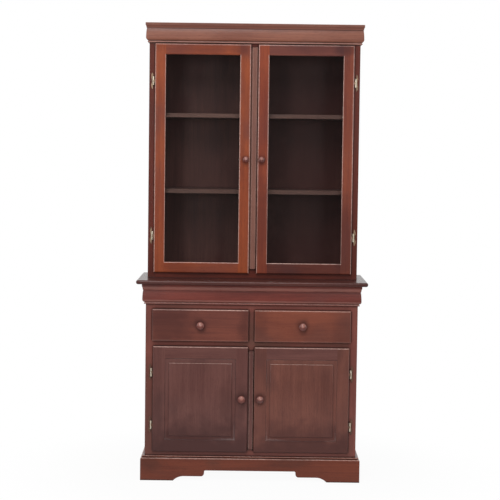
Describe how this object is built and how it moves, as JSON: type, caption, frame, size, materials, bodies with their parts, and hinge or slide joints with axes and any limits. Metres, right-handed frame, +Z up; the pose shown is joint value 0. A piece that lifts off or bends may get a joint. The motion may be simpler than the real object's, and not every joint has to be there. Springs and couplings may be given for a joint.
{
  "type": "dresser with hutch",
  "caption": "Tall dresser: a panelled cupboard with drawers and bracket feet, and above it a shallower glazed hutch with shelves, hinged doors and a moulded cornice.",
  "frame": {"origin": "on the floor, under the centre of the whole object's bounding box", "axes": "+Z up, -Y is the front with the doors and drawers, +X to the right when seen from the front"},
  "size_m": [1.004, 0.447, 1.993],
  "materials": {
    "mahogany": "glossy lacquered red-brown mahogany",
    "dark_mahogany": "glossy lacquered dark red-brown mahogany",
    "inner_wood": "satin stained veneer",
    "drawer_wood": "bare sealed softwood",
    "brass": "lightly aged polished brass",
    "glass": "clear float glass",
    "catch": "brown moulded plastic",
    "peg": "zinc plated"
  },
  "bodies": {
    "carcass": {"base_back": "inner_wood", "base_bottom": "inner_wood", "base_foot_rail": "dark_mahogany", "base_mid_rail": "dark_mahogany", "base_sides": "dark_mahogany", "base_stiles": "dark_mahogany", "base_top": "dark_mahogany", "base_top_rail": "dark_mahogany", "cornice_front": "mahogany", "cornice_returns": "mahogany", "cupboard_shelf": "inner_wood", "door_catches": "catch", "drawer_divider": "drawer_wood", "drawer_post": "dark_mahogany", "drawer_runners": "drawer_wood", "frieze_front": "dark_mahogany", "frieze_returns": "dark_mahogany", "hinge_pins": "brass", "hinge_wings": "brass", "hutch_back": "inner_wood", "hutch_bottom": "mahogany", "hutch_foot_rail": "mahogany", "hutch_shelves": "mahogany", "hutch_sides": "mahogany", "hutch_stiles": "mahogany", "hutch_top": "inner_wood", "hutch_top_rail": "mahogany", "plinth_blocks": "drawer_wood", "plinth_front": "dark_mahogany", "plinth_returns": "dark_mahogany", "shelf_pegs": "peg"},
    "hutch_door_left": {"hutch_door_left_closing_strip": "mahogany", "hutch_door_left_frame": "mahogany", "hutch_door_left_glass": "glass", "hutch_door_left_glazing_beads": "mahogany", "hutch_door_left_hinge_leaves": "brass", "hutch_door_left_knob": "mahogany"},
    "hutch_door_right": {"hutch_door_right_frame": "mahogany", "hutch_door_right_glass": "glass", "hutch_door_right_glazing_beads": "mahogany", "hutch_door_right_hinge_leaves": "brass", "hutch_door_right_knob": "mahogany"},
    "base_door_left": {"base_door_left_closing_strip": "dark_mahogany", "base_door_left_frame": "dark_mahogany", "base_door_left_hinge_leaves": "brass", "base_door_left_knob": "dark_mahogany", "base_door_left_panel": "dark_mahogany"},
    "base_door_right": {"base_door_right_frame": "dark_mahogany", "base_door_right_hinge_leaves": "brass", "base_door_right_knob": "dark_mahogany", "base_door_right_panel": "dark_mahogany"},
    "drawer_left": {"drawer_left_bottom": "drawer_wood", "drawer_left_box": "drawer_wood", "drawer_left_front": "dark_mahogany", "drawer_left_knob": "dark_mahogany"},
    "drawer_right": {"drawer_right_bottom": "drawer_wood", "drawer_right_box": "drawer_wood", "drawer_right_front": "dark_mahogany", "drawer_right_knob": "dark_mahogany"}
  },
  "joints": [
    {"name": "hutch_door_left_hinge", "type": "hinge", "parent": "carcass", "child": "hutch_door_left", "pos_m": [-0.4414, -0.0805, 1.402], "axis": [0, 0, -1], "range_deg": [0, 165]},
    {"name": "hutch_door_right_hinge", "type": "hinge", "parent": "carcass", "child": "hutch_door_right", "pos_m": [0.4414, -0.0805, 1.402], "axis": [0, 0, 1], "range_deg": [0, 165]},
    {"name": "base_door_left_hinge", "type": "hinge", "parent": "carcass", "child": "base_door_left", "pos_m": [-0.4339, -0.1855, 0.3585], "axis": [0, 0, -1], "range_deg": [0, 165]},
    {"name": "base_door_right_hinge", "type": "hinge", "parent": "carcass", "child": "base_door_right", "pos_m": [0.4339, -0.1855, 0.3585], "axis": [0, 0, 1], "range_deg": [0, 165]},
    {"name": "drawer_left_slide", "type": "slide", "parent": "carcass", "child": "drawer_left", "axis": [0, -1, 0], "range_m": [0, 0.3]},
    {"name": "drawer_right_slide", "type": "slide", "parent": "carcass", "child": "drawer_right", "axis": [0, -1, 0], "range_m": [0, 0.3]}
  ]
}
